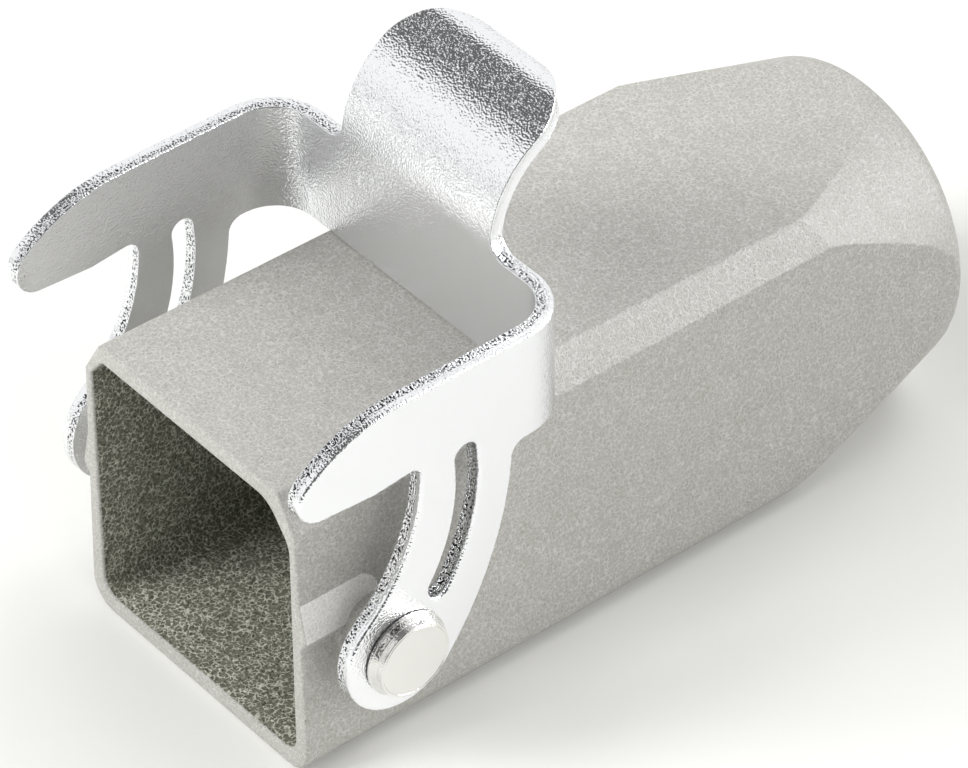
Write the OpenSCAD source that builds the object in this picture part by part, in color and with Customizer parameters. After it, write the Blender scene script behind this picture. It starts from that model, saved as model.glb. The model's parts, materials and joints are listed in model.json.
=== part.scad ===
// Cable-to-cable connector hood with a swing locking lever.
// A die-cast hood has a square mating mouth in front and a turned, threaded cable end behind.
// A lever bent from one sheet swings on two shouldered rivets and hooks the mating hood's pegs.
// X runs across the hood, +Y towards the cable, +Z up; the origin is the centre of the mouth's rim.

/* [Hood] */
// Width of the mouth inside
mouth_w = 23.5; // [20:0.1:28]
// Thickness of the side walls at the base
side_wall = 1.5; // [1.3:0.05:2.5]
// Height of the hood at the mating rim
hood_h = 26.5; // [25.5:0.1:29]
// Length from the mating rim to the cable end
hood_len = 66; // [60:0.5:80]
// How far each side leans in over the full height
side_draft = 0.83; // [0:0.01:1.2]
// How far the top falls from the rim to the cable end
top_fall = 0.96; // [0:0.02:1.4]
// Width of the bevel along each top edge
bevel_w = 1.85; // [1:0.05:2.4]
// Height of the bevel along each top edge
bevel_h = 3.18; // [2:0.02:4]
// Radius of the long bottom edges
bottom_r = 2.45; // [1.5:0.05:3]
// Thickness of the top and bottom walls
flat_wall = 1.5; // [1.2:0.05:1.8]
// Radius inside the bottom corners
inner_r = 1.6; // [1:0.1:2.4]
// How far the coded right top corner is filled in from the sharp corner
coded_cut = 1.83; // [1.6:0.01:2.2]
// Radius at both ends of the coded corner's bevel
coded_r = 2.5; // [1:0.1:2.6]
// How far the left top corner is filled in from the sharp corner
plain_cut = 1.13; // [0.8:0.01:1.4]
// Radius at both ends of the left corner's bevel
plain_r = 0.5; // [0.2:0.1:0.8]

/* [Cable end] */
// Diameter of the turned end before its edge is rounded
end_d = 25.4; // [24:0.1:26]
// Half angle of the turned cone
cone_angle = 14.7; // [13:0.1:17]
// Rounding of the end face's edge
end_round = 2; // [1:0.1:2.6]
// Height of the cable axis above the base
cable_z = 12.7; // [12.3:0.1:13.2]
// Core diameter of the cable thread
thread_core_d = 18.4; // [16:0.1:19]
// Depth of the cable thread
thread_depth = 12; // [9:0.5:15]
// Lead-in chamfer of the cable thread
thread_lead = 0.9; // [0.4:0.1:1.2]
// Wall between the cavity and the cone
cone_wall = 2.2; // [1.6:0.1:3]

/* [Pivot] */
// Distance of the pivot axis behind the rim
pivot_y = 5.95; // [5.6:0.05:6.6]
// Height of the pivot axis above the base
pivot_z = 12.45; // [11.8:0.05:13.2]
// Diameter of the cast pivot boss
boss_d = 5; // [4.6:0.1:6]
// Height of the pivot boss above the hood's side
boss_h = 3.03; // [2.6:0.01:3.8]
// Height of the side bead's middle above the base
bead_z = 14.88; // [14:0.02:16]
// Height of the bead from edge to edge
bead_w = 4.2; // [3:0.1:5]
// How far the bead stands out from the side
bead_h = 0.67; // [0.3:0.01:0.9]
// Length of the bead behind the rim
bead_len = 7.2; // [6:0.1:10]
// Diameter of the rivet's shank
shank_d = 3.2; // [2.6:0.1:3.6]
// How deep the shank is pressed into the boss
shank_seat = 3.4; // [2.5:0.1:3.5]
// Diameter of the rivet's head
head_d = 7.1; // [6:0.1:8.4]
// Height of the rivet's head
head_h = 1.2; // [0.8:0.05:2]

/* [Lever] */
// Sheet thickness
sheet = 1.4; // [1:0.1:1.8]
// Height of the arms and of the cross plate
arm_h = 9.42; // [9:0.02:11]
// Distance of the cross plate's front face behind the rim
plate_y = 21.4; // [20.8:0.1:23]
// Inside radius of the two bends
bend_r = 3.5; // [2:0.1:3.8]
// How far the finger tips reach ahead of the rim
finger_reach = 3.1; // [2.5:0.1:4.5]
// Radius of the finger tips
tip_r = 2.1; // [1.6:0.1:2.4]
// Radius of the arched top edge of the fingers
nose_r = 13.8; // [12.8:0.1:18]
// Distance behind the rim at which the arched top edge starts
nose_y = 6.55; // [5.5:0.05:7]
// Distance behind the rim of the lip that holds the peg in its seat
lip_y = 3.6; // [2.8:0.1:4.4]
// Height of that lip above the arm's lower edge
lip_rise = 2.17; // [1.8:0.01:2.4]
// Radius of the peg seat's corner
seat_r = 0.95; // [0.6:0.05:1.2]
// Radius of the round foot of each leg
foot_r = 5.15; // [4.4:0.05:5.6]
// Distance of the leg's front edge behind the rim
leg_front_y = 7.85; // [7.4:0.05:8.4]
// Distance of the leg's rear edge behind the rim
leg_rear_y = 16.4; // [15.8:0.1:17]
// Radius of the leg's hollow front edge
leg_front_r = 16; // [14:0.5:20]
// Radius of the leg's full rear edge
leg_rear_r = 30; // [26:1:36]
// Width of the curved slot in each leg
slot_w = 2; // [1.2:0.1:2.4]
// Radius of the slot's centre line
slot_arc_r = 16.9; // [15:0.1:22]
// Distance of the slot's rearmost centre point behind the rim
slot_y = 12.1; // [11.6:0.05:12.6]

/* [Thumb tab] */
// Width of the thumb tab
tab_w = 17.1; // [14:0.1:20]
// Fillet radius at the tab's root
tab_root_r = 1.6; // [1:0.1:2]
// Radius of the bend that leans the tab back
tab_bend_r = 9; // [6:0.1:12]
// Angle by which the tab leans back
tab_lean = 64; // [50:1:70]
// Length of the flat between the two bends
tab_flat = 2.2; // [1:0.1:4]
// Radius of the curled tip
curl_r = 3; // [2.4:0.1:5]
// Angle by which the tip curls over
curl_angle = 40; // [15:1:55]
// Radius of the tab's corners
tab_corner_r = 5.5; // [3:0.1:6]

/* [Fits] */
// Gap between the resting cross plate and the hood's top
rest_gap = 0.3; // [0.1:0.05:0.5]
// Side play of the lever between boss and rivet head
side_play = 0.1; // [0.05:0.05:0.2]
// Radial running clearance of the lever on the rivet
pivot_clear = 0.08; // [0.04:0.01:0.1]

/* [Hidden] */
$fn = 96;
arc_steps = 12;
past = 1;

hood_w = mouth_w + 2 * side_wall;
base_drop = hood_h / 2;
end_r = end_d / 2;
corner_turn = 39;
cone_rise = tan(cone_angle);
cavity_len = hood_len - thread_depth;
bead_r = bead_w * bead_w / (8 * bead_h) + bead_h / 2;

boss_face = half_width(pivot_z) + boss_h;
lever_in = boss_face + side_play;
lever_out = lever_in + sheet;
head_seat = lever_out + side_play;

pivot = [pivot_y, pivot_z];
arm_low = hood_h - top_fall * plate_y / hood_len + rest_gap;
arm_top = arm_low + arm_h;
plate_back = plate_y + sheet;

// Finger: the arched top edge runs into the round tip without a corner.
nose_c = [nose_y, arm_top - nose_r];
tip_y = tip_r - finger_reach;
tip_turn = acos((tip_y - nose_y) / (nose_r - tip_r));
tip_c = nose_c + (nose_r - tip_r) * turned(tip_turn);
lip = [lip_y, arm_low + lip_rise];
tip_end = heading(lip, tip_c) + asin(tip_r / norm(tip_c - lip)) + 90;

// Leg: hollow front arc and full rear arc, both tangent to the round foot.
front_dy = leg_front_y - leg_front_r - pivot_y;
front_c = pivot + [front_dy, sqrt(pow(leg_front_r + foot_r, 2) - pow(front_dy, 2))];
front_end = heading(front_c, pivot);
rear_dy = leg_rear_y - leg_rear_r - pivot_y;
rear_c = pivot + [rear_dy, sqrt(pow(leg_rear_r - foot_r, 2) - pow(rear_dy, 2))];
rear_start = heading(rear_c, pivot);
armpit_r = 1.2;
rear_end = asin((arm_low - armpit_r - rear_c.y) / leg_rear_r);
armpit_c = [rear_c.x + leg_rear_r * cos(rear_end) + armpit_r, arm_low - armpit_r];

// Peg seat: the finger's lower edge rises behind the lip into a round corner with the leg.
seat_rise = 1.54;
seat_z = arm_low + seat_rise;
front_start = asin((seat_z - front_c.y) / leg_front_r);
seat_c = [front_c.x + leg_front_r * cos(front_start) - seat_r, seat_z];
seat_start = heading(lip, seat_c) + asin(seat_r / norm(seat_c - lip)) + 90;

// Slot: an arc that keeps clear of the arm above and of the rivet below.
slot_top_rise = 1.35;
slot_foot_rise = 4.35;
slot_rearmost_drop = 0.45;
slot_c = [slot_y - slot_arc_r, arm_low - slot_rearmost_drop];
slot_low = asin((pivot_z + slot_foot_rise - slot_c.y) / slot_arc_r);
slot_high = asin((arm_low + slot_top_rise - slot_c.y) / slot_arc_r);

// Tab: upright, leaned back round the first bend, then curled over at the tip.
tab_half = tab_w / 2;
tab_bend_rise = 0.4;
curl_flat = 0.4;
lean_c = [plate_y + tab_bend_r, arm_top + tab_bend_rise];
curl_c = lean_c + (tab_bend_r - curl_r) * turned(180 - tab_lean) + tab_flat * turned(90 - tab_lean);
tab_end = tab_face(0)[len(tab_face(0)) - 1];

// Rivet head: a thin flange, a slightly tapered collar and a bevelled crown.
flange_h = 0.24;
flange_step = 0.25;
collar_taper = 0.05;
crown_bevel = 0.3;

function turned(a) = [cos(a), sin(a)];

function heading(from, to) = atan2(to.y - from.y, to.x - from.x);

// Points of an arc; one that carries on from the point before it starts at 1 instead of 0.
function arc(c, r, a0, a1, first = 0) =
    [for (i = [first:arc_steps]) c + r * turned(a0 + (a1 - a0) * i / arc_steps)];

function reversed(list) = [for (i = [len(list) - 1:-1:0]) list[i]];

function mirrored(list) = [for (p = reversed(list)) [-p.x, p.y]];

// Half width of the drafted hood at a height above its base.
function half_width(z) = hood_w / 2 - side_draft * z / hood_h;

// Right half of the hood's outer cross-section as [X, Z], bottom edge first.
function outer_half() = concat(
    arc([half_width(bottom_r) - bottom_r, bottom_r], bottom_r, 270, 360),
    [[half_width(hood_h - bevel_h), hood_h - bevel_h]],
    [[half_width(hood_h - bevel_h) - bevel_w, hood_h]]
);

// Half of the cavity's cross-section: its top corner is a bevel with rounded ends.
function inner_half(cut, r) =
    let (
        half = mouth_w / 2,
        high = hood_h - flat_wall,
        n = turned(corner_turn),
        low_c = [half - r, high - (cut + r * (1 - n.x)) / n.y],
        high_c = [half - (cut + r * (1 - n.y)) / n.x, high - r]
    )
    concat(
        arc([half - inner_r, flat_wall + inner_r], inner_r, 270, 360),
        arc(low_c, r, 0, corner_turn),
        arc(high_c, r, corner_turn, 90)
    );

// Outline of the lever without its tab, seen from the side as [Y, Z].
function arm_outline() = concat(
    [[plate_back + past, arm_top]],
    arc(nose_c, nose_r, 90, tip_turn),
    arc(tip_c, tip_r, tip_turn, tip_end, 1),
    [lip],
    arc(seat_c, seat_r, seat_start, 0),
    arc(front_c, leg_front_r, front_start, front_end, 1),
    arc(pivot, foot_r, front_end + 180, rear_start + 360, 1),
    arc(rear_c, leg_rear_r, rear_start, rear_end, 1),
    arc(armpit_c, armpit_r, 180, 90, 1),
    [[plate_back + past, arm_low]]
);

function slot_outline() = concat(
    arc(slot_c, slot_arc_r + slot_w / 2, slot_low, slot_high, 1),
    arc(slot_c + slot_arc_r * turned(slot_high), slot_w / 2, slot_high, slot_high + 180, 1),
    arc(slot_c, slot_arc_r - slot_w / 2, slot_high, slot_low, 1),
    arc(slot_c + slot_arc_r * turned(slot_low), slot_w / 2, slot_low + 180, slot_low + 360, 1)
);

// One face of the cross plate and tab as [Y, Z], at a depth d behind the front face.
function tab_face(d) = concat(
    [[plate_y + d, arm_low]],
    arc(lean_c, tab_bend_r - d, 180, 180 - tab_lean),
    arc(curl_c, curl_r - d, 180 - tab_lean, 180 - tab_lean - curl_angle),
    [curl_c + (curl_r - d) * turned(180 - tab_lean - curl_angle)
        + curl_flat * turned(90 - tab_lean - curl_angle)]
);

// Right half of the tab and the plate under it, seen from the front as [X, Z].
function tab_front() = concat(
    [[tab_half + tab_root_r, arm_low]],
    arc([tab_half + tab_root_r, arm_top + tab_root_r], tab_root_r, 270, 180),
    [[tab_half, tab_end.y + curl_r]]
);

module from_mouth_centre() {
    translate([0, 0, -base_drop]) children();
}

// Extrudes an [X, Z] outline along Y.
module along_hood(y0, y1) {
    translate([0, y1, 0]) rotate([90, 0, 0]) linear_extrude(y1 - y0) children();
}

// Extrudes a [Y, Z] outline along X.
module across_hood(x0, x1) {
    translate([x0, 0, 0]) rotate([90, 0, 90]) linear_extrude(x1 - x0) children();
}

module both_sides() {
    children();
    mirror([1, 0, 0]) children();
}

// Solid of revolution about the cable axis, from [radius, Y] points.
module about_cable_axis() {
    translate([0, 0, cable_z]) rotate([-90, 0, 0]) rotate_extrude() children();
}

module hood_prism(right, left, y0, y1) {
    along_hood(y0, y1) polygon(concat(right, mirrored(left)));
}

// Everything under the falling top, moved down by t.
module under_roof(t) {
    fall = top_fall / hood_len;
    across_hood(-hood_w, hood_w) polygon([
        [-past, -past],
        [hood_len + past, -past],
        [hood_len + past, hood_h - t - fall * (hood_len + past)],
        [-past, hood_h - t + fall * past]
    ]);
}

// Turned cone with a rounded rear edge.
module cable_cone() {
    round_c = [end_r - end_round * (1 - sin(cone_angle)) / cos(cone_angle), hood_len - end_round];
    about_cable_axis() polygon(concat(
        [[0, -past], [end_r + cone_rise * (hood_len + past), -past]],
        arc(round_c, end_round, cone_angle, 90),
        [[0, hood_len]]
    ));
}

// Cone of the cavity, parallel to the outer one.
module cavity_cone() {
    rear_r = end_r - cone_wall + cone_rise * thread_depth;
    front_r = rear_r + cone_rise * (cavity_len + past);
    about_cable_axis() polygon([[0, -past], [front_r, -past], [rear_r, cavity_len], [0, cavity_len]]);
}

module hood_shell() {
    intersection() {
        hood_prism(outer_half(), outer_half(), 0, hood_len);
        under_roof(0);
        cable_cone();
    }
}

module hood_cavity() {
    intersection() {
        hood_prism(inner_half(coded_cut, coded_r), inner_half(plain_cut, plain_r), -past, cavity_len);
        under_roof(flat_wall);
        cavity_cone();
    }
}

module cable_thread_bore() {
    core_r = thread_core_d / 2;
    translate([0, cavity_len - past, cable_z]) rotate([-90, 0, 0])
        cylinder(h = thread_depth + 2 * past, r = core_r);
    about_cable_axis() polygon([
        [0, hood_len - thread_lead],
        [core_r, hood_len - thread_lead],
        [core_r + thread_lead + past, hood_len + past],
        [0, hood_len + past]
    ]);
}

// Low round bead beside the mouth, flush with the rim and rounded off behind.
module side_bead() {
    axis_x = half_width(bead_z) + bead_h - bead_r;
    axis_end = bead_len - bead_w / 2;
    translate([axis_x, 0, bead_z]) rotate([-90, 0, 0]) cylinder(h = axis_end, r = bead_r);
    translate([axis_x, axis_end, bead_z]) sphere(r = bead_r);
}

module pivot_boss() {
    root = mouth_w / 2;
    translate([root, pivot_y, pivot_z]) rotate([0, 90, 0]) cylinder(h = boss_face - root, d = boss_d);
}

module rivet_hole() {
    translate([boss_face - shank_seat, pivot_y, pivot_z]) rotate([0, 90, 0])
        cylinder(h = shank_seat + past, d = shank_d);
}

module hood_body() {
    color("#b8b7b1") from_mouth_centre() difference() {
        union() {
            hood_shell();
            both_sides() {
                side_bead();
                pivot_boss();
            }
        }
        hood_cavity();
        cable_thread_bore();
        both_sides() rivet_hole();
    }
}

// Plan of the space inside a bent strip: half width, corner radius, front and rear ends.
module u_plan(half, r, y0, y1) {
    translate([-half, y0]) square([2 * half, y1 - r - y0]);
    translate([r - half, y0]) square([2 * (half - r), y1 - y0]);
    for (side = [-1, 1]) translate([side * (half - r), y1 - r]) circle(r = r);
}

// The strip bent into a U, trimmed to the arms' outline, with slots and pivot holes.
module bent_strip() {
    front = -finger_reach - past;
    foot = pivot_z - foot_r - past;
    difference() {
        intersection() {
            translate([0, 0, foot]) linear_extrude(arm_top - foot + past) difference() {
                u_plan(lever_out, bend_r + sheet, front, plate_back);
                u_plan(lever_in, bend_r, front - past, plate_y);
            }
            across_hood(-lever_out - past, lever_out + past) difference() {
                polygon(arm_outline());
                polygon(slot_outline());
            }
        }
        translate([-lever_out - past, pivot_y, pivot_z]) rotate([0, 90, 0])
            cylinder(h = 2 * (lever_out + past), d = shank_d + 2 * pivot_clear);
    }
}

// Rounds a corner of the tab; the round meets the tab's side at a slight angle.
module tab_corner_cut() {
    edge = tab_corner_r + past;
    meet = 0.08;
    translate([tab_half - tab_corner_r + meet, -tab_corner_r, -2 * tab_bend_r])
        linear_extrude(4 * tab_bend_r) difference() {
            square(edge);
            circle(r = tab_corner_r);
        }
}

module thumb_tab() {
    right = tab_front();
    half = tab_half + tab_root_r;
    difference() {
        intersection() {
            across_hood(-half, half) polygon(concat(tab_face(0), reversed(tab_face(sheet))));
            along_hood(plate_y - past, tab_end.x + curl_r) polygon(concat(right, mirrored(right)));
        }
        translate([0, tab_end.x, tab_end.y]) rotate([90 - tab_lean, 0, 0]) both_sides() tab_corner_cut();
    }
}

module locking_lever() {
    color("#dcdddd") from_mouth_centre() {
        bent_strip();
        thumb_tab();
    }
}

// Shouldered rivet pressed into the boss; its stepped head holds the lever.
module pivot_rivet() {
    head_r = head_d / 2;
    collar_r = head_r - flange_step;
    crown_edge_r = collar_r - collar_taper;
    shank_r = shank_d / 2;
    shank_len = head_seat - boss_face + shank_seat;
    translate([head_seat, pivot_y, pivot_z]) rotate([0, 90, 0]) rotate_extrude() polygon([
        [0, -shank_len],
        [shank_r, -shank_len],
        [shank_r, 0],
        [head_r, 0],
        [head_r, flange_h],
        [collar_r, flange_h + flange_step / 2],
        [crown_edge_r, head_h - crown_bevel],
        [crown_edge_r - crown_bevel, head_h],
        [0, head_h]
    ]);
}

module pivot_rivet_left() {
    color("#d3d4d3") from_mouth_centre() mirror([1, 0, 0]) pivot_rivet();
}

module pivot_rivet_right() {
    color("#d3d4d3") from_mouth_centre() pivot_rivet();
}

hood_body();
locking_lever();
pivot_rivet_left();
pivot_rivet_right();
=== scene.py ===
import json

import bmesh
import bpy
import numpy as np
from mathutils import Matrix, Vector
from mathutils.geometry import delaunay_2d_cdt


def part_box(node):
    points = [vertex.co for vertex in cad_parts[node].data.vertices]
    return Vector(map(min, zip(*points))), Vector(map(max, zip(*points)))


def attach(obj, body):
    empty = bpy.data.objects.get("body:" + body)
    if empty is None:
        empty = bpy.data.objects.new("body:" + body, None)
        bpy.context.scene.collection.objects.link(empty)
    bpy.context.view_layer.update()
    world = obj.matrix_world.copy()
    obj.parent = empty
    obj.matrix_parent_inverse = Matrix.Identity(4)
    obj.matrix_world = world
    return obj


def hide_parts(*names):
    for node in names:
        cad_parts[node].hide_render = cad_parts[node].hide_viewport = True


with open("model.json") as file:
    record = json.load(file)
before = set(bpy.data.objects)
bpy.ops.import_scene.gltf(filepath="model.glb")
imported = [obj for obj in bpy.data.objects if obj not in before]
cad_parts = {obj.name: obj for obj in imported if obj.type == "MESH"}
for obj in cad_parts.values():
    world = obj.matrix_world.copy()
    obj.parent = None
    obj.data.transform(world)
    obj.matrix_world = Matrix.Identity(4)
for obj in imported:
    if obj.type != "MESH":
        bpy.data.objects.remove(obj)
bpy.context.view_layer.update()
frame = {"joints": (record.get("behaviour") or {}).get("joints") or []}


# Hood: one zinc die casting with a square mouth in front and a turned cone behind, tapped for a gland.
# It is powder coated as a bare casting, so the coat rounds every edge and covers the inside as well.
# Its skin is drawn in rows of points, from the rim back over the outside and forward through the cavity.
mm = 0.001
hood_low, hood_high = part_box("hood_body")
base_z = hood_low.z
hood_h = hood_high.z - base_z
hood_len = hood_high.y
mouth_half = 11.75 * mm
side_wall = 1.5 * mm
flat_wall = 1.5 * mm
side_draft = 0.83 * mm
top_fall = 0.96 * mm
bevel_w, bevel_h = 1.85 * mm, 3.18 * mm
bottom_r = 2.45 * mm
edge_r = 0.45 * mm
rim_r = 0.22 * mm
inner_r = 1.6 * mm
corner_turn = np.radians(39)
coded_cut, coded_r = 1.83 * mm, 2.5 * mm
plain_cut, plain_r = 1.13 * mm, 0.5 * mm


def half_width(height):
    """Half the hood's width at a height above its base; the sides lean in for the mould."""
    return mouth_half + side_wall - side_draft * height / hood_h


def fall_at(y):
    """How far the top has come down at a distance behind the rim."""
    return top_fall * y / hood_len


def unit(vectors):
    return vectors / np.linalg.norm(vectors, axis=-1, keepdims=True)


def rounded_loop(corners, radii, flat_cuts, arc_steps=8):
    """Points and outward normals round a closed outline, with round corners and cuts along each flat."""
    corners = np.array(corners)
    along = unit(np.roll(corners, -1, axis=0) - corners)
    flat_normals = np.stack([along[:, 1], -along[:, 0]], axis=1)
    arcs = []
    for corner, r, before, after in zip(corners, radii, np.roll(flat_normals, 1, axis=0), flat_normals):
        swing = np.arctan2(before[0] * after[1] - before[1] * after[0], before @ after)
        angles = np.arctan2(before[1], before[0]) + swing * np.linspace(0, 1, arc_steps + 1)
        normals = np.stack([np.cos(angles), np.sin(angles)], axis=1)
        centre = corner - r * (before + after) / (1 + before @ after)
        arcs.append((centre + r * normals, normals))
    points, normals = [], []
    for i, cuts in enumerate(flat_cuts):
        arc_points, arc_normals = arcs[i]
        next_point = arcs[(i + 1) % len(arcs)][0][0]
        points += [arc_points, arc_points[-1] + np.outer(cuts, next_point - arc_points[-1])]
        normals += [arc_normals, np.repeat(flat_normals[i : i + 1], len(cuts), axis=0)]
    return np.concatenate(points), np.concatenate(normals)


# Cuts along each flat as shares of its length, from the right side round, and closest at the bead.
bead_cuts = np.linspace(0.44, 0.74, 49)
side_cuts = np.concatenate([[0.01, 0.1, 0.22, 0.34], bead_cuts, [0.82, 0.91, 0.99]])
bevel_cuts = np.linspace(0.05, 0.95, 4)
level_cuts = np.concatenate([[0.01], np.linspace(0.04, 0.96, 24), [0.99]])
flat_cuts = [side_cuts, bevel_cuts, level_cuts, bevel_cuts, 1 - side_cuts[::-1], level_cuts]


def outer_loop(y):
    """The outside at a distance behind the rim as [X, height], from the bottom right corner round."""
    bevel_low = np.array([half_width(hood_h - bevel_h), hood_h - bevel_h])
    bevel_high = bevel_low + np.array([-bevel_w, bevel_h - fall_at(y)])
    right = [np.array([half_width(0), 0]), bevel_low, bevel_high]
    left = [corner * [-1, 1] for corner in reversed(right)]
    return rounded_loop(right + left, [bottom_r, edge_r, edge_r, edge_r, edge_r, bottom_r], flat_cuts)


def inner_loop(y):
    """The cavity's walls in the same order; the right top corner is filled in further, as a code."""
    fall = fall_at(y)
    roof = hood_h - flat_wall
    right, left = (
        [
            np.array([mouth_half, flat_wall]),
            np.array([mouth_half, roof - cut / np.sin(corner_turn)]),
            np.array([mouth_half - (cut - fall * np.sin(corner_turn)) / np.cos(corner_turn), roof - fall]),
        ]
        for cut in (coded_cut, plain_cut)
    )
    left = [corner * [-1, 1] for corner in reversed(left)]
    return rounded_loop(right + left, [inner_r, coded_r, coded_r, plain_r, plain_r, inner_r], flat_cuts)


outer_front, outer_normal = outer_loop(0)
outer_rear, _ = outer_loop(hood_len)
inner_front, inner_normal = inner_loop(0)
inner_rear, _ = inner_loop(hood_len)
every = np.ones(len(outer_front))

# The low bead beside the mouth, one on each side, with its crest nearer to its lower edge.
bead_height, bead_w, bead_h, bead_len = 14.88 * mm, 4.2 * mm, 0.67 * mm, 7.2 * mm
bead_crest, crest_blend = 0.8, 0.5
bead_axis_end = bead_len - bead_w / 2
least_half = 0.01 * mm
coat_blend = 0.16 * mm
side_normal = 0.99


def soft_min(a, b, blend):
    """The smaller of two distances, eased where they are closer than the blend."""
    ease = np.maximum(blend - np.abs(a - b), 0) / blend
    return np.minimum(a, b) - ease**2 * blend / 4


def bead_half(y):
    """Half the bead's width at a distance behind the rim; it ends in a half circle."""
    past_end = np.maximum(y - bead_axis_end, 0)
    return np.sqrt(np.maximum((bead_w / 2) ** 2 - past_end**2, least_half**2))


def outer_point(y):
    """Where each column of the outside lies at its own distance y, with the bead on the sides."""
    point = outer_front + (outer_rear - outer_front) * (y / hood_len)[:, None]
    half = bead_half(y)
    share = (half + bead_height - point[:, 1]) / (2 * half)
    rise = soft_min(share / bead_crest, (1 - share) / (1 - bead_crest), crest_blend)
    bulge = bead_h * 2 * half / bead_w * rise
    on_side = np.abs(outer_normal[:, 0]) > side_normal
    bulge = np.where(on_side, -soft_min(-bulge, 0 * bulge, coat_blend), 0)
    point[:, 0] += np.sign(point[:, 0]) * bulge
    return point


def inner_point(y):
    """Where each column of the cavity's walls lies at its own distance y."""
    return inner_front + (inner_rear - inner_front) * (y / hood_len)[:, None]


# The turned cone: its small end is as wide as it can be without reaching below the base.
end_r = 12.7 * mm
cone_degrees = 14.7
cone_lean = np.radians(cone_degrees)
cone_slope = np.tan(cone_lean)
cone_wall = 2.2 * mm
cone_edge_blend = 0.06 * mm
end_round = 2 * mm
cable_axis = np.array([0, end_r])
thread_depth = 12 * mm
cavity_len = hood_len - thread_depth
last_cut, last_inner_cut = hood_len - 2.6 * mm, cavity_len - 1.5 * mm
cut_tries = 4


def cone_r(y):
    """The cone's outer radius at a distance behind the rim."""
    return end_r + cone_slope * (hood_len - y)


def inside_cone(point, r_here):
    """Pulls points in to a radius about the cable axis, with a soft edge where the cone cuts the walls."""
    arm = point - cable_axis
    r = np.linalg.norm(arm, axis=1)
    return cable_axis + arm / r[:, None] * soft_min(r, r_here, cone_edge_blend)[:, None]


def cone_cut(point_at, wall, last):
    """How far back the cone, less a wall, cuts each column of a surface, and at most the last place."""
    y = last * every
    for _ in range(cut_tries):
        reach = np.linalg.norm(point_at(y) - cable_axis, axis=1)
        y = hood_len - (reach + wall - end_r) / cone_slope
    return np.minimum(y, last)


def ring(y, point):
    """One row of the hood's surface as [X, Y, Z] in the frame."""
    return np.stack([point[:, 0], y, base_z + point[:, 1]], axis=1)


# Outside, from the rim's round to the end's round; the rows gather where the cone cuts each column.
rows = []
for swing in np.radians(np.linspace(90, 0, 5)):
    y = rim_r * (1 - np.sin(swing)) * every
    rows.append(ring(y, outer_point(y) - outer_normal * rim_r * (1 - np.cos(swing))))

gather = 0.9 * mm
bead_back = bead_len + 1.3 * mm
cut_y = cone_cut(outer_point, 0, last_cut)
arc_start = hood_len - end_round * (1 - np.sin(cone_lean))
stretches = [
    (rim_r * every, bead_back * every, 56),
    (bead_back * every, cut_y - gather, 8),
    (cut_y - gather, cut_y + gather, 8),
    (cut_y + gather, arc_start * every, 8),
]
for start, stop, steps in stretches:
    for share in np.arange(1, steps + 1) / steps:
        y = start + (stop - start) * share
        rows.append(ring(y, inside_cone(outer_point(y), cone_r(y))))

round_r = end_r - end_round * (1 - np.sin(cone_lean)) / np.cos(cone_lean)
for swing in np.radians(np.linspace(cone_degrees, 90, 10))[1:]:
    y = (hood_len - end_round * (1 - np.sin(swing))) * every
    rows.append(ring(y, inside_cone(outer_point(y), round_r + end_round * np.cos(swing))))

# Cable thread: an internal fine thread with a lead-in chamfer, cut before the coat.
thread_core_r = 9.2 * mm
thread_lead = 0.9 * mm
thread_pitch = 1.5 * mm
thread_h = 0.75 * mm
thread_step = 0.12 * mm
flank_slope, crest_flat = 1.25, 0.15
end_face_rs = (10.65 * mm, 10.2 * mm)
heading = unit(outer_rear - cable_axis)
turn = np.arctan2(heading[:, 1], heading[:, 0]) / (2 * np.pi)
for r in end_face_rs:
    rows.append(ring(hood_len * every, cable_axis + heading * r))
for y in np.arange(hood_len, cavity_len, -thread_step):
    wave = np.abs(2 * ((y / thread_pitch - turn) % 1) - 1)
    runout = np.clip((y - cavity_len) / thread_pitch, 0, 1)
    groove = thread_h * runout * np.clip(flank_slope * wave - crest_flat, 0, 1)
    lead = max(thread_lead - (hood_len - y), 0)
    r = thread_core_r + np.maximum(groove, lead)
    rows.append(ring(y * every, cable_axis + heading * r[:, None]))

# Cavity, from its rear wall forward to the rim's round.
rear_wall_r = np.linalg.norm(inner_point(cavity_len * every) - cable_axis, axis=1)
rear_wall_r = np.minimum(rear_wall_r, cone_r(cavity_len) - cone_wall)
for share in (0, 0.25, 0.5, 0.75):
    r = thread_core_r + (rear_wall_r - thread_core_r) * share
    rows.append(ring(cavity_len * every, cable_axis + heading * r[:, None]))
cut_y = cone_cut(inner_point, cone_wall, last_inner_cut)
stretches = [
    (cavity_len * every, cut_y + gather, 4),
    (cut_y + gather, cut_y - gather, 6),
    (cut_y - gather, rim_r * every, 14),
]
for start, stop, steps in stretches:
    for share in np.arange(steps) / steps:
        y = start + (stop - start) * share
        rows.append(ring(y, inside_cone(inner_point(y), cone_r(y) - cone_wall)))
for swing in np.radians(np.linspace(0, 90, 5)):
    y = rim_r * (1 - np.sin(swing)) * every
    rows.append(ring(y, inner_point(y) + inner_normal * rim_r * (1 - np.cos(swing))))


def closed_grid(rows):
    """Vertices and quads of rows of points that close on themselves both ways."""
    count, width = len(rows), len(rows[0])
    index = np.arange(count * width).reshape(count, width)
    right, below = np.roll(index, -1, axis=1), np.roll(index, -1, axis=0)
    quads = np.stack([index, right, np.roll(right, -1, axis=0), below], axis=2)
    return np.concatenate(rows), quads.reshape(-1, 4)


sharp_angle = np.radians(35)


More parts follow.
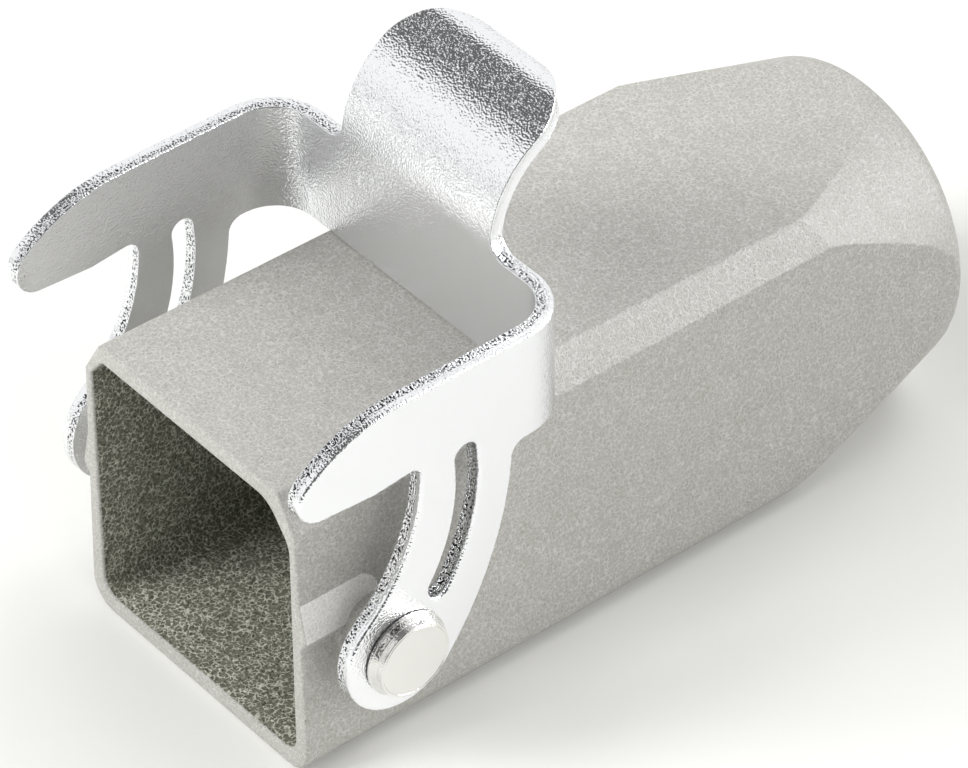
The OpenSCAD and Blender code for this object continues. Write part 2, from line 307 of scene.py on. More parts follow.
def add_piece(name, vertices, faces):
    """A smooth mesh object of that name, with its faces turned outwards."""
    mesh = bpy.data.meshes.new(name)
    mesh.from_pydata(np.asarray(vertices).tolist(), [], [list(map(int, face)) for face in faces])
    work = bmesh.new()
    work.from_mesh(mesh)
    bmesh.ops.recalc_face_normals(work, faces=work.faces)
    work.to_mesh(mesh)
    work.free()
    mesh.shade_smooth()
    mesh.set_sharp_from_angle(angle=sharp_angle)
    piece = bpy.data.objects.new(name, mesh)
    bpy.context.scene.collection.objects.link(piece)
    return piece


hood = add_piece("hood_casting", *closed_grid(rows))

# Pivot bosses: round pads cast on both sides, faced flat for the lever and drilled for the rivets.
pivot = np.array(frame["joints"][0]["pos_m"])
boss_face = hood_high.x
boss_r, boss_root_r, boss_edge_r = 2.5 * mm, 0.5 * mm, 0.2 * mm
side_x = half_width(pivot[2] - base_z)


def spun(name, profile, side, steps=96):
    """A closed solid spun about the hinge axis from [radius, X] points that start and end on the axis."""
    angles = np.linspace(0, 2 * np.pi, steps, endpoint=False)
    vertices = [(side * profile[0][1], pivot[1], pivot[2])]
    for r, x in profile[1:-1]:
        vertices += [(side * x, pivot[1] + r * np.cos(a), pivot[2] + r * np.sin(a)) for a in angles]
    vertices.append((side * profile[-1][1], pivot[1], pivot[2]))
    rings = len(profile) - 2
    last = len(vertices) - 1
    faces = []
    for i in range(steps):
        j = (i + 1) % steps
        faces.append((0, 1 + i, 1 + j))
        faces += [
            (1 + k * steps + i, 1 + k * steps + j, 1 + (k + 1) * steps + j, 1 + (k + 1) * steps + i)
            for k in range(rings - 1)
        ]
        faces.append((last, 1 + (rings - 1) * steps + i, 1 + (rings - 1) * steps + j))
    return add_piece(name, vertices, faces)


def arc_profile(centre, r, start, stop, steps=5):
    """[radius, X] points of an arc in a spun profile."""
    return [
        (centre[0] + r * np.cos(a), centre[1] + r * np.sin(a))
        for a in np.radians(np.linspace(start, stop, steps + 1))
    ]


boss_profile = (
    [(0, side_x - boss_root_r), (boss_r + boss_root_r, side_x - boss_root_r)]
    + arc_profile((boss_r + boss_root_r, side_x + boss_root_r), boss_root_r, 270, 180)
    + arc_profile((boss_r - boss_edge_r, boss_face - boss_edge_r), boss_edge_r, 0, 90)
    + [(0, boss_face)]
)
for side in (1, -1):
    boss = spun("pivot_boss", boss_profile, side)
    union = hood.modifiers.new("cast_on", "BOOLEAN")
    union.operation = "UNION"
    union.solver = "EXACT"
    union.object = boss
    joined = bpy.data.meshes.new_from_object(hood.evaluated_get(bpy.context.evaluated_depsgraph_get()))
    hood.modifiers.clear()
    hood.data = joined
    bpy.data.objects.remove(boss)

# Slivers left where boss and wall meet are closed up.
speck = 0.002 * mm
work = bmesh.new()
work.from_mesh(hood.data)
bmesh.ops.remove_doubles(work, verts=work.verts, dist=speck)
bmesh.ops.dissolve_degenerate(work, edges=work.edges, dist=speck)
work.to_mesh(hood.data)
work.free()
hood.data.shade_smooth()
hood.data.set_sharp_from_angle(angle=sharp_angle)


def linear(hex_colour):
    """Linear RGBA of an sRGB hex colour."""
    channels = np.array([int(hex_colour[i : i + 2], 16) for i in (1, 3, 5)]) / 255
    low, high = channels / 12.92, ((channels + 0.055) / 1.055) ** 2.4
    return (*np.where(channels <= 0.04045, low, high), 1.0)


def add_node(tree, kind, inputs, **settings):
    """A shader node with its settings; an input is a plain value or another node's output."""
    made = tree.nodes.new("ShaderNode" + kind)
    for name, value in settings.items():
        setattr(made, name, value)
    for socket, value in inputs.items():
        if isinstance(value, bpy.types.NodeSocket):
            tree.links.new(value, made.inputs[socket])
        else:
            made.inputs[socket].default_value = value
    return made


def new_material(name):
    """An empty node material, its tree and its surface socket."""
    material = bpy.data.materials.new(name)
    material.use_nodes = True
    tree = material.node_tree
    tree.nodes.clear()
    surface = add_node(tree, "OutputMaterial", {}).inputs["Surface"]
    return material, tree, surface


def set_stops(ramp, stops):
    """Gives a colour ramp its positions and sRGB colours, in order."""
    for stop, (position, colour) in zip(ramp.color_ramp.elements, stops):
        stop.position = position
        stop.color = linear(colour)


# Veins and pits are finer on the real coat, and are drawn as coarse as they need to show.
vein_cell, vein_w, pit_w = 0.4 * mm, 0.065 * mm, 0.16 * mm
vein_sway = 0.9 * vein_cell
vein_gone, vein_whole = 0.3, 0.56
pit_rim, pit_floor = 0.5, 0.75
mottle = 2.6 * mm
coat_relief = 0.05 * mm
plain_level = 0.5


def powder_coat(name, pit, body, vein):
    """A powder coat that shrank as it cured, with thin raised veins and small pits between them."""
    material, tree, surface = new_material(name)
    place = add_node(tree, "TexCoord", {}).outputs["Object"]
    sway = add_node(
        tree, "TexNoise", {"Vector": place, "Scale": 1 / vein_cell, "Detail": 2.0}
    ).outputs["Color"]
    sway = add_node(tree, "VectorMath", {0: sway, "Scale": vein_sway}, operation="SCALE").outputs["Vector"]
    bent = add_node(tree, "VectorMath", {0: place, 1: sway}, operation="ADD").outputs["Vector"]
    cells = add_node(
        tree, "TexVoronoi", {"Vector": bent, "Scale": 1 / vein_cell}, feature="DISTANCE_TO_EDGE"
    ).outputs["Distance"]
    seams = add_node(
        tree, "MapRange",
        {"Value": cells, "From Max": vein_w / vein_cell, "To Min": plain_level, "To Max": 0.0},
        interpolation_type="SMOOTHSTEP",
    ).outputs["Result"]
    breaks = add_node(
        tree, "TexNoise", {"Vector": place, "Scale": 1 / vein_cell, "Detail": 1.0}
    ).outputs["Fac"]
    whole = add_node(
        tree, "MapRange", {"Value": breaks, "From Min": vein_gone, "From Max": vein_whole}
    ).outputs["Result"]
    specks = add_node(tree, "TexNoise", {"Vector": place, "Scale": 1 / pit_w, "Detail": 1.0}).outputs["Fac"]
    pits = add_node(
        tree, "MapRange",
        {"Value": specks, "From Min": pit_rim, "From Max": pit_floor, "To Max": plain_level},
    ).outputs["Result"]
    raised = add_node(
        tree, "Math", {0: seams, 1: whole, 2: plain_level}, operation="MULTIPLY_ADD"
    ).outputs[0]
    relief = add_node(tree, "Math", {0: raised, 1: pits}, operation="SUBTRACT").outputs[0]
    grain = add_node(tree, "ValToRGB", {"Fac": relief})
    grain.color_ramp.elements.new(plain_level)
    set_stops(grain, ((0.0, pit), (plain_level, body), (1.0, vein)))
    clouds = add_node(
        tree, "TexNoise", {"Vector": place, "Scale": 1 / mottle, "Detail": 3.0}
    ).outputs["Fac"]
    shade = add_node(tree, "ValToRGB", {"Fac": clouds})
    set_stops(shade, ((0.3, "#f8f7f6"), (0.7, "#ffffff")))
    colour_a, colour_b, colour_out = 6, 7, 2
    tint = add_node(
        tree, "Mix",
        {"Factor": 1.0, colour_a: grain.outputs["Color"], colour_b: shade.outputs["Color"]},
        data_type="RGBA", blend_type="MULTIPLY",
    ).outputs[colour_out]
    skin = add_node(tree, "Bump", {"Height": relief, "Strength": 0.6, "Distance": coat_relief})
    coat = add_node(
        tree, "BsdfPrincipled",
        {"Base Color": tint, "Roughness": 0.45, "IOR": 1.5, "Normal": skin.outputs["Normal"]},
    )
    tree.links.new(coat.outputs["BSDF"], surface)
    return material


# Polyester powder coat: a dull warm grey with faint pale veins and small dark pits, and a soft sheen.
# In the cavity it is painted darker, as painted shade, so its veins stand out, paler in part as painted
# sheen on their crests; the beads' upper faces are painted paler, as a painted highlight.
hood.data.materials.clear()
for name, pit, body, vein in (
    ("polyester_powder_coat", "#9a9992", "#b2b1ac", "#cbcac6"),
    # Painted shade: the darker coat in the cavity stands in for the shade inside the mouth, and its pale
    # veins partly for sheen on their crests.
    ("polyester_powder_coat_painted_cavity_shade", "#2a2b22", "#77786b", "#dfdfd2"),
    # Painted highlight: the paler coat on the beads' upper faces stands in for the light they catch.
    ("polyester_powder_coat_painted_bead_highlight", "#d0cfca", "#e8e7e4", "#f6f5f3"),
):
    hood.data.materials.append(powder_coat(name, pit, body, vein))
plain_coat, cavity_shade_coat, bead_highlight_coat = range(3)
faces_front, faces_side = -0.5, 0.9
count = len(hood.data.polygons)
centres, facings = np.empty(3 * count), np.empty(3 * count)
hood.data.polygons.foreach_get("center", centres)
hood.data.polygons.foreach_get("normal", facings)
centres, facings = centres.reshape(-1, 3), facings.reshape(-1, 3)
across, behind_mouth = np.abs(centres[:, 0]), centres[:, 1]
middle = [0, 0, base_z + hood_h / 2]
# Faces inside the mouth, which get the painted cavity shade.
inward = ((centres - middle) * facings * [1, 0, 1]).sum(axis=1) < 0
in_cavity = inward | (facings[:, 1] < faces_front)
in_cavity &= (behind_mouth > rim_r) & (across < mouth_half + rim_r)
# Each bead's upper face, down to its crest, gets the painted highlight.
half = bead_half(behind_mouth)
below_top = base_z + bead_height + half - centres[:, 2]
on_bead = (facings[:, 0] * np.sign(centres[:, 0]) > faces_side) & (across < half_width(0) + bead_h)
on_bead &= (behind_mouth < bead_len) & (below_top > 0) & (below_top < 2 * half * bead_crest)
coats = np.where(on_bead, bead_highlight_coat, np.where(in_cavity, cavity_shade_coat, plain_coat))
hood.data.polygons.foreach_set("material_index", coats)
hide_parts("hood_body")
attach(hood, "hood")


# Pivot rivets: two shouldered rivets turned from bar and bright plated.
# The shank is pressed into the boss and the stepped head keeps the lever on it.
# The head's face keeps a fine turned ring and the lathe's centre mark.
rivet_low, rivet_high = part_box("pivot_rivet_right")
rivet_face = rivet_high.x
head_r = (rivet_high.z - rivet_low.z) / 2
head_h = 1.2 * mm
head_seat = rivet_face - head_h
shank_r = 1.6 * mm
flange_h = 0.3 * mm
collar_r, collar_h = head_r - 0.24 * mm, 0.72 * mm
crown_r = collar_r - 0.16 * mm
turn_mark_r, turn_mark_h = crown_r - 0.2 * mm, 0.03 * mm
centre_mark_r, centre_mark_h = 0.14 * mm, 0.06 * mm
break_r = 0.07 * mm
rivet_profile = (
    [(0, rivet_low.x), (shank_r, rivet_low.x), (shank_r, head_seat)]
    + arc_profile((head_r - break_r, head_seat + break_r), break_r, 270, 360, 3)
    + arc_profile((head_r - break_r, head_seat + flange_h - break_r), break_r, 0, 90, 3)
    + arc_profile((collar_r - break_r, head_seat + collar_h - break_r), break_r, 0, 90, 3)
    + arc_profile((crown_r - break_r, rivet_face - break_r), break_r, 0, 90, 3)
    + [(turn_mark_r + turn_mark_h, rivet_face), (turn_mark_r, rivet_face - turn_mark_h)]
    + [(turn_mark_r - turn_mark_h, rivet_face), (turn_mark_r - 2 * turn_mark_h, rivet_face)]
    + [(1.5 * centre_mark_r, rivet_face), (centre_mark_r, rivet_face), (0, rivet_face - centre_mark_h)]
)


def plated_metal(name, grain, detail, depth):
    """A metal with an uneven skin; also gives its tree, its shader's inputs and the skin's height."""
    material, tree, surface = new_material(name)
    place = add_node(tree, "TexCoord", {}).outputs["Object"]
    uneven = add_node(
        tree, "TexNoise", {"Vector": place, "Scale": 1 / grain, "Detail": detail}
    ).outputs["Fac"]
    skin = add_node(tree, "Bump", {"Height": uneven, "Strength": 1.0, "Distance": depth}).outputs["Normal"]
    metal = add_node(tree, "BsdfPrincipled", {"Metallic": 1.0, "Normal": skin})
    tree.links.new(metal.outputs["BSDF"], surface)
    return material, tree, metal.inputs, uneven


# Nickel plate over turned steel: bright, with specks in its dark reflections and softly worn flats.
# The pits under the plate are drawn as coarse as they need to show.
turned_nickel, tree, nickel, pits = plated_metal(
    "turned_nickel_plate", grain=0.16 * mm, detail=1.0, depth=0.04 * mm
)
worn = add_node(tree, "MapRange", {"Value": pits, "To Min": 0.08, "To Max": 0.26})
tree.links.new(worn.outputs["Result"], nickel["Roughness"])
nickel["Base Color"].default_value = linear("#e2e1de")

for name, side in (("right", 1), ("left", -1)):
    rivet = spun(f"rivet_{name}", rivet_profile, side)
    rivet.data.materials.append(turned_nickel)
    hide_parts(f"pivot_rivet_{name}")
    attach(rivet, "hood")


# Locking lever: one steel stamping bent into a U, with two arms, a cross plate and a leaned-back thumb tab.
# It is blanked from sheet, bent and zinc plated. Its edges keep the marks of the shear, apart from the
# tab's, which are smoothed for the thumb.
lever_low, lever_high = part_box("locking_lever")
sheet = 1.4 * mm
lever_in = lever_high.x - sheet
plate_y = 21.4 * mm
bend_r = 3.5 * mm
lever_gap = 0.3 * mm
arm_h = 9.42 * mm
arm_low = base_z + hood_h - fall_at(plate_y) + lever_gap
arm_top = arm_low + arm_h
plate_half = lever_in - bend_r
bend_len = bend_r * np.pi / 2


def arc(centre, r, start, stop, steps):
    """Points of an arc between two angles in degrees."""
    angles = np.radians(np.linspace(start, stop, steps + 1))
    return np.array(centre) + r * np.stack([np.cos(angles), np.sin(angles)], axis=1)


def on_arc(centre, r, angle):
    """The point of a circle at an angle in degrees."""
    return arc(centre, r, angle, angle, 1)[0]


def bearing(origin, target):
    """Angle in degrees of the way from one point to another."""
    return np.degrees(np.arctan2(target[1] - origin[1], target[0] - origin[0]))


def touch(origin, centre, r):
    """Angle in degrees at which a straight edge from a point touches a circle."""
    return bearing(origin, centre) + np.degrees(np.arcsin(r / np.linalg.norm(centre - origin))) + 90


# Arm outline as [Y, Z]: arched finger, round tip, peg seat behind a lip, hollow leg, round foot.
hinge_at = pivot[1:]
nose_r, nose_y, tip_r = 13.8 * mm, 6.55 * mm, 2.1 * mm
nose_c = np.array([nose_y, arm_top - nose_r])
tip_turn = np.degrees(np.arccos((lever_low.y + tip_r - nose_y) / (nose_r - tip_r)))
tip_c = on_arc(nose_c, nose_r - tip_r, tip_turn)
lip = np.array([3.6 * mm, arm_low + 2.17 * mm])
tip_end = touch(lip, tip_c, tip_r)
foot_r = hinge_at[1] - lever_low.z
front_r, front_y, rear_r, rear_y = 16 * mm, 7.85 * mm, 30 * mm, 16.4 * mm
front_dy = front_y - front_r - hinge_at[0]
front_c = hinge_at + [front_dy, np.sqrt((front_r + foot_r) ** 2 - front_dy**2)]
rear_dy = rear_y - rear_r - hinge_at[0]
rear_c = hinge_at + [rear_dy, np.sqrt((rear_r - foot_r) ** 2 - rear_dy**2)]
seat_r, seat_z = 0.95 * mm, arm_low + 1.54 * mm
front_start = np.degrees(np.arcsin((seat_z - front_c[1]) / front_r))
seat_c = np.array([front_c[0] + front_r * np.cos(np.radians(front_start)) - seat_r, seat_z])
seat_start = touch(lip, seat_c, seat_r)
armpit_r = 1.2 * mm
rear_end = np.degrees(np.arcsin((arm_low - armpit_r - rear_c[1]) / rear_r))
armpit_c = [rear_c[0] + rear_r * np.cos(np.radians(rear_end)) + armpit_r, arm_low - armpit_r]
front_end = bearing(front_c, hinge_at)
rear_start = bearing(rear_c, hinge_at)
arm_outline = np.concatenate(
    [
        arc(nose_c, nose_r, 90, tip_turn, 30),
        arc(tip_c, tip_r, tip_turn, tip_end, 16)[1:],
        [lip],
        arc(seat_c, seat_r, seat_start, 0, 10),
        arc(front_c, front_r, front_start, front_end, 26)[1:],
        arc(hinge_at, foot_r, front_end + 180, rear_start + 360, 44)[1:],
        arc(rear_c, rear_r, rear_start, rear_end, 34)[1:],
        arc(armpit_c, armpit_r, 180, 90, 8)[1:],
    ]
)

# Thumb tab: the blank runs up from the cross plate, leans back round one bend and curls over at its tip.
tab_half, tab_root_r, tab_corner_r = 8.55 * mm, 1.6 * mm, 5.5 * mm
lean_r, lean = 9 * mm, np.radians(64)
curl_r, curl = 3 * mm, np.radians(40)
lean_rise, tab_flat, tip_flat = 0.4 * mm, 2.2 * mm, 0.4 * mm
lean_from = arm_top + lean_rise
flat_from = lean_from + lean_r * lean
curl_from = flat_from + tab_flat
curl_to = curl_from + curl_r * curl
tab_tip = curl_to + tip_flat


def blank_along(y):
    """Place of a point of the right arm on the flat blank, measured from the middle of the cross plate."""
    return plate_half + bend_len + plate_y - bend_r - y


def steps_between(start, stop, pitch):
    """Evenly spaced points of a straight edge, without its ends."""
    count = int(np.ceil(np.linalg.norm(np.subtract(stop, start)) / pitch))
    return np.array(start) + np.outer(np.arange(1, count) / count, np.subtract(stop, start))


# The tab's corners are round as seen square to its flat, so the blank lets them out over the curl.
edge_pitch = 0.4 * mm
tab_corner = arc([tab_half - tab_corner_r, 0], tab_corner_r, 90, 0, 18)
reach = tab_corner[:, 1] - tab_corner_r + curl_r * np.sin(curl) + tip_flat * np.cos(curl)
on_curl = np.arcsin(np.clip(reach / curl_r, 0, np.sin(curl)))
tab_corner[:, 1] = curl_from + np.minimum(reach, 0) + curl_r * on_curl
tab_corner[:, 1] += np.maximum(reach - curl_r * np.sin(curl), 0) / np.cos(curl)
root = arc([tab_half + tab_root_r, arm_top + tab_root_r], tab_root_r, 180, 270, 10)
arm_blank = np.stack([blank_along(arm_outline[:, 0]), arm_outline[:, 1]], axis=1)
right_edge = np.concatenate(
    [
        [[0, tab_tip]],
        steps_between([0, tab_tip], tab_corner[0], edge_pitch),
        tab_corner,
        steps_between(tab_corner[-1], root[0], edge_pitch),
        root,
        steps_between(root[-1], arm_blank[0], edge_pitch),
        arm_blank,
        steps_between(arm_blank[-1], [0, arm_low], edge_pitch),
        [[0, arm_low]],
    ]
)
blank_edge = np.concatenate([right_edge, right_edge[-2:0:-1] * [-1, 1]])

# Punched holes of each leg: a curved slot, and the pivot hole with its running clearance.
slot_w, slot_r, slot_y = 2 * mm, 16.9 * mm, 12.1 * mm
slot_drop, slot_above_hinge, slot_above_arm = 0.45 * mm, 4.35 * mm, 1.35 * mm
slot_c = np.array([slot_y - slot_r, arm_low - slot_drop])
slot_low = np.degrees(np.arcsin((hinge_at[1] + slot_above_hinge - slot_c[1]) / slot_r))
slot_high = np.degrees(np.arcsin((arm_low + slot_above_arm - slot_c[1]) / slot_r))
slot = np.concatenate(
    [
        arc(slot_c, slot_r + slot_w / 2, slot_low, slot_high, 26)[1:],
        arc(on_arc(slot_c, slot_r, slot_high), slot_w / 2, slot_high, slot_high + 180, 12)[1:],
        arc(slot_c, slot_r - slot_w / 2, slot_high, slot_low, 26)[1:],
        arc(on_arc(slot_c, slot_r, slot_low), slot_w / 2, slot_low + 180, slot_low + 360, 12)[1:],
    ]
)
pivot_play = 0.08 * mm
pivot_hole = arc(hinge_at, shank_r + pivot_play, 0, 360, 48)[1:]
loops = [blank_edge]
for hole in (slot, pivot_hole):
    right_hole = np.stack([blank_along(hole[:, 0]), hole[:, 1]], axis=1)
    loops += [right_hole[::-1], right_hole * [-1, 1]]


def fold(along, up, deep):
    """Bends points of the blank into place; also gives the ways along, up and out of the sheet there."""
    side = np.where(along < 0, -1, 1)
    turn = np.clip((np.abs(along) - plate_half) / bend_r, 0, np.pi / 2)
    on_arm = np.maximum(np.abs(along) - plate_half - bend_len, 0)
    x = side * (np.minimum(np.abs(along), plate_half) + (bend_r + deep) * np.sin(turn))
    y = plate_y - bend_r + (bend_r + deep) * np.cos(turn) - on_arm
    leaned = np.clip((up - lean_from) / lean_r, 0, lean)
    curled = np.clip((up - curl_from) / curl_r, 0, curl)
    tilt = leaned + curled
    flat = np.clip(up - flat_from, 0, tab_flat)
    past = np.maximum(up - curl_to, 0)
    lean_c = np.array([plate_y + lean_r, lean_from])
    curl_c = lean_c + (lean_r - curl_r) * np.array([-np.cos(lean), np.sin(lean)])
    curl_c += tab_flat * np.array([np.sin(lean), np.cos(lean)])
    lean_y = lean_c[0] - (lean_r - deep) * np.cos(leaned) + flat * np.sin(lean)
    lean_z = lean_c[1] + (lean_r - deep) * np.sin(leaned) + flat * np.cos(lean)
    curl_y = curl_c[0] - (curl_r - deep) * np.cos(tilt) + past * np.sin(tilt)
    curl_z = curl_c[1] + (curl_r - deep) * np.sin(tilt) + past * np.cos(tilt)
    on_tab, on_tip = up > lean_from, up > curl_from
    y = np.where(on_tip, curl_y, np.where(on_tab, lean_y, y))
    z = np.where(on_tip, curl_z, np.where(on_tab, lean_z, up))
    still = np.zeros_like(x)
    way_along = np.stack([np.cos(turn), -side * np.sin(turn), still], axis=1)
    way_up = np.stack([still, np.sin(tilt), np.cos(tilt)], axis=1)
    way_out = np.stack([side * np.sin(turn), np.cos(turn) * np.cos(tilt), -np.sin(tilt)], axis=1)
    return np.stack([x, y, z], axis=1), way_along, way_up, way_out


# The edge's section, from the burr on the inner face over a dished wall to the rolled-over outer edge.
# Each point is its inset, its depth in the sheet, and its normal's share outward and through the sheet.
burr_r, roll_r, dish = 0.1 * mm, 0.26 * mm, 0.05 * mm
wall = sheet - burr_r - roll_r
burr_steps, torn_steps, wall_steps, roll_steps = 3, 5, 8, 5
edge_section = [
    (burr_r * (1 - np.cos(a)), burr_r * (1 + np.sin(a)), np.cos(a), np.sin(a))
    for a in np.radians(np.linspace(-90, 0, burr_steps + 1))
]
for share in np.linspace(0, 1, wall_steps + 1)[1:-1]:
    slope = dish * 4 * (1 - 2 * share) / wall
    level, rise = unit(np.array([1, slope]))
    edge_section.append((dish * 4 * share * (1 - share), burr_r + wall * share, level, rise))
edge_section += [
    (roll_r * (1 - np.cos(a)), sheet - roll_r * (1 - np.sin(a)), np.cos(a), np.sin(a))
    for a in np.radians(np.linspace(0, 90, roll_steps + 1))
]

vertices, normals, faces, sheared = [], [], [], []


def add_points(blank, deep, outward, lift):
    """Folds points of the blank and keeps their true normals; gives the number of the first one."""
    first = sum(map(len, vertices))
    places, way_along, way_up, way_out = fold(blank[:, 0], blank[:, 1], np.full(len(blank), deep))
    vertices.append(places)
    normals.append(outward[:, :1] * way_along + outward[:, 1:] * way_up + lift * way_out)
    return first


# The blank's edge is torn part of the way through the sheet, the small holes all the way, the tab not.
face_loops = {0: [], sheet: []}
for loop in loops:
    ahead = unit(np.roll(loop, -1, axis=0) - loop)
    left = np.stack([-ahead[:, 1], ahead[:, 0]], axis=1)
    out = unit(left + np.roll(left, 1, axis=0))
    starts = [
        add_points(loop - out * inset, deep, out * level, lift)
        for inset, deep, level, lift in edge_section
    ]
    size = len(loop)
    torn_end = burr_steps + (torn_steps if loop is blank_edge else wall_steps)
    for row, (low, high) in enumerate(zip(starts, starts[1:])):
        torn = burr_steps <= row < torn_end
        for i in range(size):
            j = (i + 1) % size
            faces.append((low + i, low + j, high + j, high + i))
            sheared.append(int(torn and loop[i, 1] < lean_from))
    face_loops[0].append((starts[0], loop - out * edge_section[0][0]))
    face_loops[sheet].append((starts[-1], loop - out * edge_section[-1][0]))


def crossings(points, loop):
    """How often a level ray to the right of each point crosses a loop, and how near its points lie."""
    a, b = loop, np.roll(loop, -1, axis=0)
    px, py = points[:, :1], points[:, 1:]
    spans = (a[:, 1] > py) != (b[:, 1] > py)
    rise = np.where(b[:, 1] == a[:, 1], 1, b[:, 1] - a[:, 1])
    hits = spans & (px < a[:, 0] + (py - a[:, 1]) * (b[:, 0] - a[:, 0]) / rise)
    near = np.sqrt((px - a[:, 0]) ** 2 + (py - a[:, 1]) ** 2).min(axis=1)
    return hits.sum(axis=1), near


def within(points, edges, margin):
    """Points inside the first edge and outside the others, at least the margin from all of them."""
    inside = np.ones(len(points), bool)
    for number, edge in enumerate(edges):
        hits, near = crossings(points, edge)
        inside &= (hits % 2 == (1 if number == 0 else 0)) & (near > margin)
    return inside


# Inner points follow the bends, so the sheet turns evenly; on the flats they lie further apart.
plate_points, bend_points = 11, 15
arm_pitch, leg_pitch, tab_pitch, edge_margin = 1.5 * mm, 1.1 * mm, 0.35 * mm, 0.55 * mm
merge_mm = 1e-5
bend_s = np.linspace(plate_half, plate_half + bend_len, bend_points)
arm_s = np.arange(bend_s[-1] + arm_pitch, blank_along(lever_low.y), arm_pitch)
half_s = np.concatenate([np.linspace(0, plate_half, plate_points)[:-1], bend_s, arm_s])
blank_s = np.concatenate([-half_s[:0:-1], half_s])
leg_v = np.arange(lever_low.z, arm_top, leg_pitch)
tab_v = np.arange(arm_top, tab_tip, tab_pitch)
blank_v = np.concatenate([leg_v, tab_v])
grid = np.stack(np.meshgrid(blank_s, blank_v), axis=2).reshape(-1, 2)
grid = grid[within(grid, loops, edge_margin)]
for deep, lift in ((0, -1), (sheet, 1)):
    edges = [loop for _, loop in face_loops[deep]]
    first_inner = add_points(grid, deep, np.zeros((len(grid), 2)), lift)
    numbers = np.concatenate([start + np.arange(len(loop)) for start, loop in face_loops[deep]])
    numbers = np.concatenate([numbers, first_inner + np.arange(len(grid))])
    flat_points = np.concatenate([*edges, grid])
    fixed, first = [], 0
    for loop in edges:
        fixed += [(first + i, first + (i + 1) % len(loop)) for i in range(len(loop))]
        first += len(loop)
    in_mm = (flat_points / mm).tolist()
    placed, _, triangles, source, _, _ = delaunay_2d_cdt(in_mm, fixed, [], 0, merge_mm)
    placed = np.array([tuple(p) for p in placed]) * mm
    middles = np.array([placed[list(t)].mean(axis=0) for t in triangles])
    for triangle, kept in zip(triangles, within(middles, edges, 0)):
        if kept:
            faces.append(tuple(numbers[source[i][0]] for i in triangle))
            sheared.append(0)

lever = add_piece("lever_stamping", np.concatenate(vertices), faces)
lever.data.polygons.foreach_set("material_index", sheared)
lever.data.normals_split_custom_set_from_vertices(unit(np.concatenate(normals)).tolist())

# Blue-passivated zinc plate: bright and cool, with a faint milky haze, over finely dimpled rolled sheet.
# Broad faces look even, and where a bright wall meets a dark one in them the line breaks into specks.
# The dimples and the torn grain below are finer in life, and are drawn as coarse as they need to show.
bright_zinc, tree, zinc, rolled = plated_metal(
    "blue_passivated_zinc_plate", grain=0.17 * mm, detail=0.5, depth=0.06 * mm
)
worn = add_node(tree, "MapRange", {"Value": rolled, "To Min": 0.08, "To Max": 0.16})
tree.links.new(worn.outputs["Result"], zinc["Roughness"])
zinc["Base Color"].default_value = linear("#f1f2f4")
zinc["Metallic"].default_value = 0.9

# The same plate where the sheet tore in the shear, over its coarse torn grain; the edge is speckled black
# and white, and the black specks are painted reflections of the dark room in the grain.
torn_zinc, tree, zinc, torn_grain = plated_metal(
    "zinc_plate_on_torn_edge_painted_reflections", grain=0.17 * mm, detail=0.5, depth=0.14 * mm
)
# Painted reflection: black where the torn grain dips stands in for the dark room it mirrors.
painted_dark_specks = add_node(tree, "ValToRGB", {"Fac": torn_grain})
set_stops(painted_dark_specks, ((0.37, "#2b2b2d"), (0.45, "#f2f3f5")))
tree.links.new(painted_dark_specks.outputs["Color"], zinc["Base Color"])
zinc["Roughness"].default_value = 0.1

lever.data.materials.append(bright_zinc)
lever.data.materials.append(torn_zinc)
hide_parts("locking_lever")
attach(lever, "lever")


# Stage: a plain pale floor of matt paper in an open white room, as for a catalogue picture.
# Soft boxes stand round it, and a camera with a long lens looks down on the mouth.
floor_half = 2.0
floor = add_piece(
    "floor",
    [(x * floor_half, y * floor_half, base_z) for x, y in ((-1, -1), (1, -1), (1, 1), (-1, 1))],
    [(0, 1, 2, 3)],
)
paper, tree, surface = new_material("matt_white_paper")
matt = add_node(
    tree, "BsdfPrincipled",
    {"Base Color": linear("#ecece9"), "Roughness": 0.9, "Specular IOR Level": 0.0},
)
tree.links.new(matt.outputs["BSDF"], surface)
floor.data.materials.append(paper)

# White room: bright walls for the plated faces to mirror, with a dark gap across the ceiling, which shows
# as the black band on the tab, a dark patch at the front right and a dark skirting. The gap is measured
# as Y over height and the skirting as height, on a unit sphere. Seen directly the room is plain white.
wall_light, dark_light = 1.0, 0.02
gap_middle, gap_half, gap_height = -0.15, 0.36, 0.45
dark_way, dark_from, dark_full = (0.77, -0.64, 0), 0.45, 0.8
skirting_top, skirting_full, skirting_dark = 0.12, 0.04, 0.8
room = bpy.data.worlds.new("white_room")
room.use_nodes = True
bpy.context.scene.world = room
tree = room.node_tree
tree.nodes.clear()
toward = add_node(tree, "TexCoord", {}).outputs["Generated"]
_, along, height = add_node(tree, "SeparateXYZ", {"Vector": toward}).outputs
lean_back = add_node(tree, "Math", {0: along, 1: height}, operation="DIVIDE").outputs[0]
between = add_node(tree, "Math", {0: lean_back, 1: gap_middle, 2: gap_half}, operation="COMPARE").outputs[0]
overhead = add_node(tree, "Math", {0: height, 1: gap_height}, operation="GREATER_THAN").outputs[0]
gap = add_node(tree, "Math", {0: between, 1: overhead}, operation="MULTIPLY").outputs[0]
nearness = add_node(tree, "VectorMath", {0: toward, 1: dark_way}, operation="DOT_PRODUCT").outputs["Value"]
patch = add_node(
    tree, "MapRange", {"Value": nearness, "From Min": dark_from, "From Max": dark_full}
).outputs["Result"]
skirting = add_node(
    tree, "MapRange",
    {"Value": height, "From Min": skirting_top, "From Max": skirting_full, "To Max": skirting_dark},
).outputs["Result"]
unlit = add_node(tree, "Math", {0: gap, 1: patch}, operation="MAXIMUM").outputs[0]
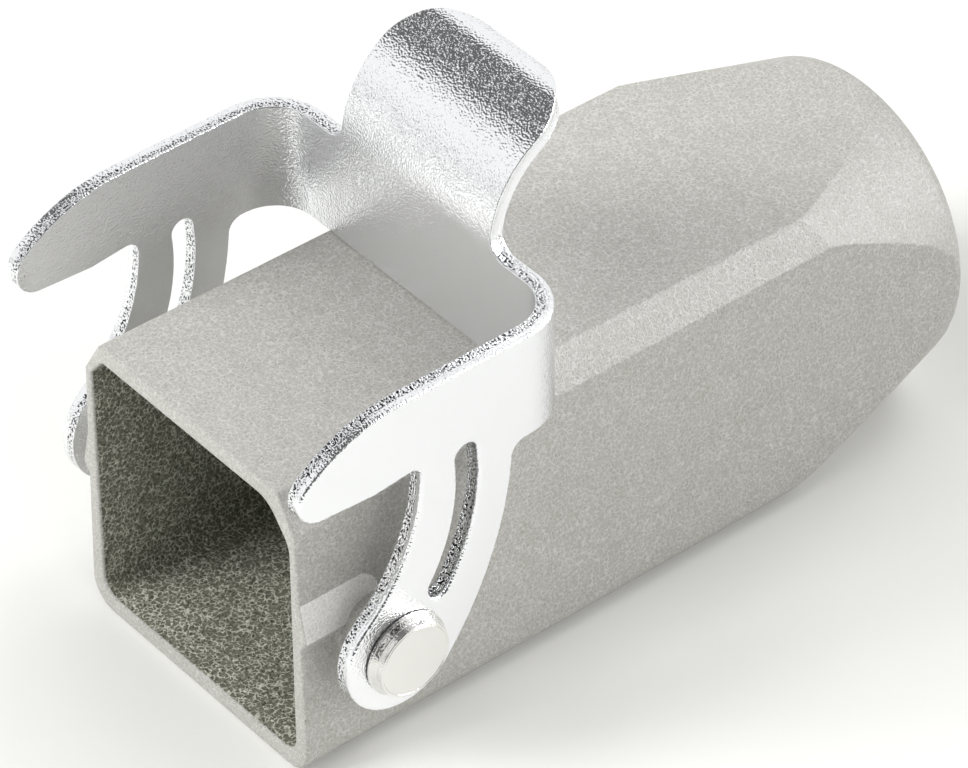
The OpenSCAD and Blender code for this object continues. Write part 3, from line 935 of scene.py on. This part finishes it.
unlit = add_node(tree, "Math", {0: unlit, 1: skirting}, operation="MAXIMUM").outputs[0]
glow = add_node(
    tree, "MapRange", {"Value": unlit, "To Min": wall_light, "To Max": dark_light}
).outputs["Result"]
seen = add_node(tree, "LightPath", {}).outputs["Is Camera Ray"]
backdrop = add_node(tree, "Math", {0: seen, 1: wall_light}, operation="MULTIPLY").outputs[0]
glow = add_node(tree, "Math", {0: glow, 1: backdrop}, operation="MAXIMUM").outputs[0]
sky = add_node(tree, "Background", {"Color": linear("#ffffff"), "Strength": glow})
tree.links.new(sky.outputs["Background"], add_node(tree, "OutputWorld", {}).inputs["Surface"])

light_target = np.array([0, 0.03, 0])


def soft_box(name, place, size, power):
    """A square area light at a place, turned to the hood."""
    lamp = bpy.data.lights.new(name, "AREA")
    lamp.size = size
    lamp.energy = power
    box = bpy.data.objects.new(name, lamp)
    bpy.context.scene.collection.objects.link(box)
    back = unit(np.array(place) - light_target)
    right = unit(np.cross([0, 0, 1], back))
    turned = np.stack([right, np.cross(back, right), back], axis=1)
    box.matrix_world = Matrix([[*turned[i], place[i]] for i in range(3)] + [[0, 0, 0, 1]])
    return box


# Four boxes light the coat without being mirrored, and two only lay a sheen on the bevel and the cone.
for name, place, size, power in (
    ("key_box", (0.55, -0.06, 0.38), 0.4, 1.4),
    ("top_box", (-0.12, -0.33, 0.6), 0.3, 0.8),
    ("back_box", (0.0, 0.45, 0.52), 0.3, 0.9),
    ("front_box", (-0.25, -0.52, 0.42), 0.3, 3.2),
):
    soft_box(name, place, size, power).visible_glossy = False
for name, place, size, power in (
    ("bevel_sheen_box", (0.42, 0.5, 0.16), 0.3, 4.2),
    ("cone_sheen_box", (0.2, 0.5, 0.34), 0.2, 2.0),
):
    soft_box(name, place, size, power).visible_diffuse = False

# Camera: a long lens above the right front corner of the mouth.
picture_w = 968
focal_px = 6000
camera = bpy.data.objects.new("camera", bpy.data.cameras.new("camera"))
bpy.context.scene.collection.objects.link(camera)
camera.data.sensor_width = 36
camera.data.lens = focal_px * camera.data.sensor_width / picture_w
right = np.array([0.6365, 0.7712, -0.0064])
down = np.array([0.4959, -0.4156, -0.7625])
stand = (0.26835, -0.19122, 0.29527)
back = np.cross(right, -down)
camera.matrix_world = Matrix(
    [[right[i], -down[i], back[i], stand[i]] for i in range(3)] + [[0, 0, 0, 1]]
)
camera.data.clip_start, camera.data.clip_end = 0.01, 20
bpy.context.scene.camera = camera
bpy.context.scene.view_settings.view_transform = "Standard"
